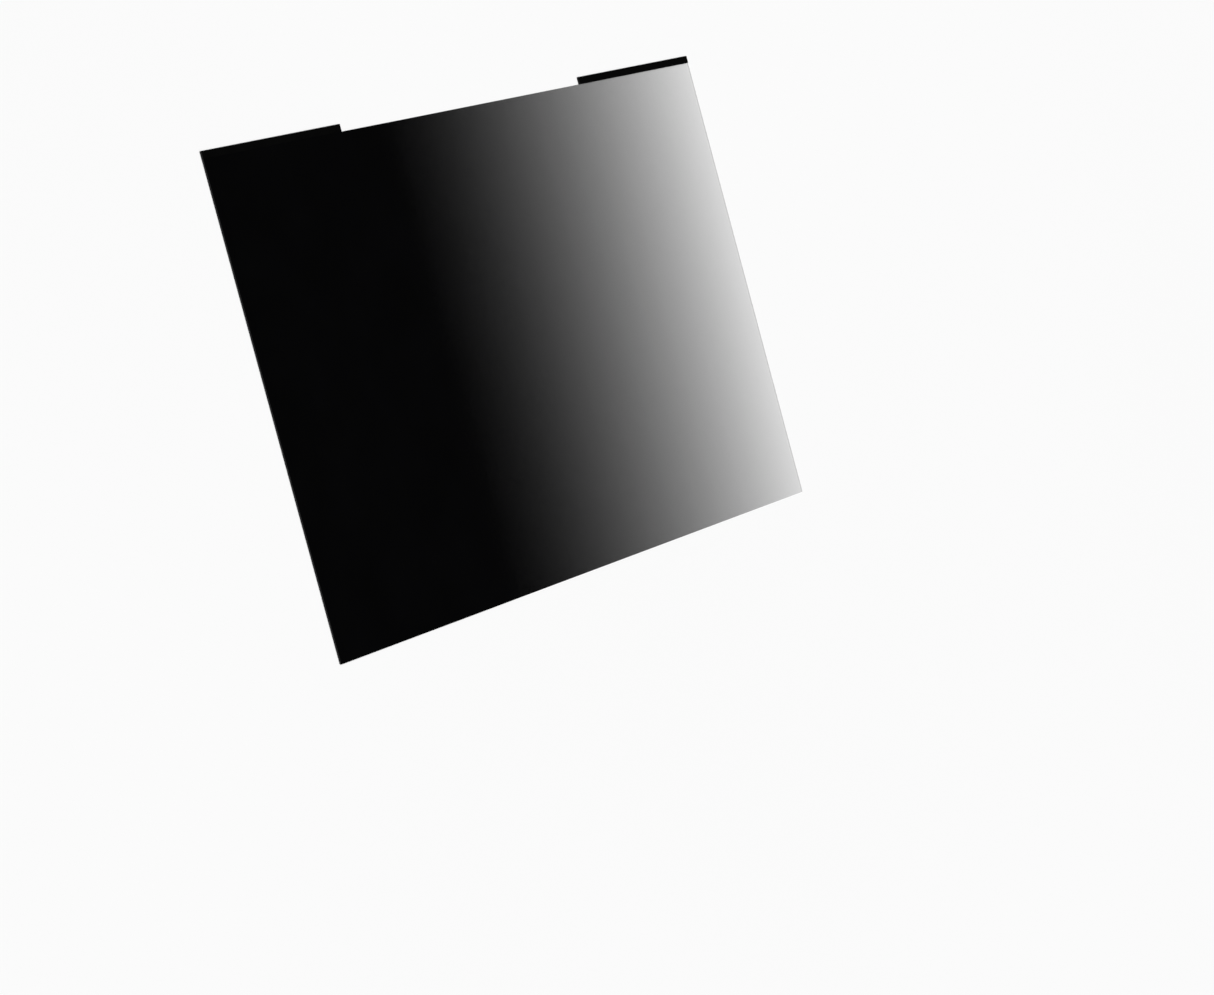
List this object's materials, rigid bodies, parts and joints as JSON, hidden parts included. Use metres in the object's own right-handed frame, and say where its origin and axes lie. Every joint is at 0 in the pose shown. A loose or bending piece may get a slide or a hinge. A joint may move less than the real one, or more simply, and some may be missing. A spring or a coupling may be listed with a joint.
{
  "type": "laptop privacy filter",
  "caption": "Flat louvred privacy sheet for a laptop screen, fading from black to light grey, with slim black self-adhesive tabs along its top edge at the upper corners.",
  "frame": {"origin": "on the surface that the filter lies on, under the middle of its outline", "axes": "+X along the sheet's width to the right as seen from the front, +Y up the sheet towards the tabs, +Z out of the front face"},
  "size_m": [0.344, 0.197, 0.001],
  "materials": {
    "filter_laminate": "dark see-through louvre laminate with a satin hard coat",
    "tab_film": "matte black polyester film",
    "adhesive": "milky double-sided acrylic tape"
  },
  "bodies": {
    "root": {"filter_sheet": "filter_laminate", "left_tab": "tab_film", "right_tab": "tab_film", "left_adhesive_strip": "adhesive", "right_adhesive_strip": "adhesive"}
  },
  "joints": []
}
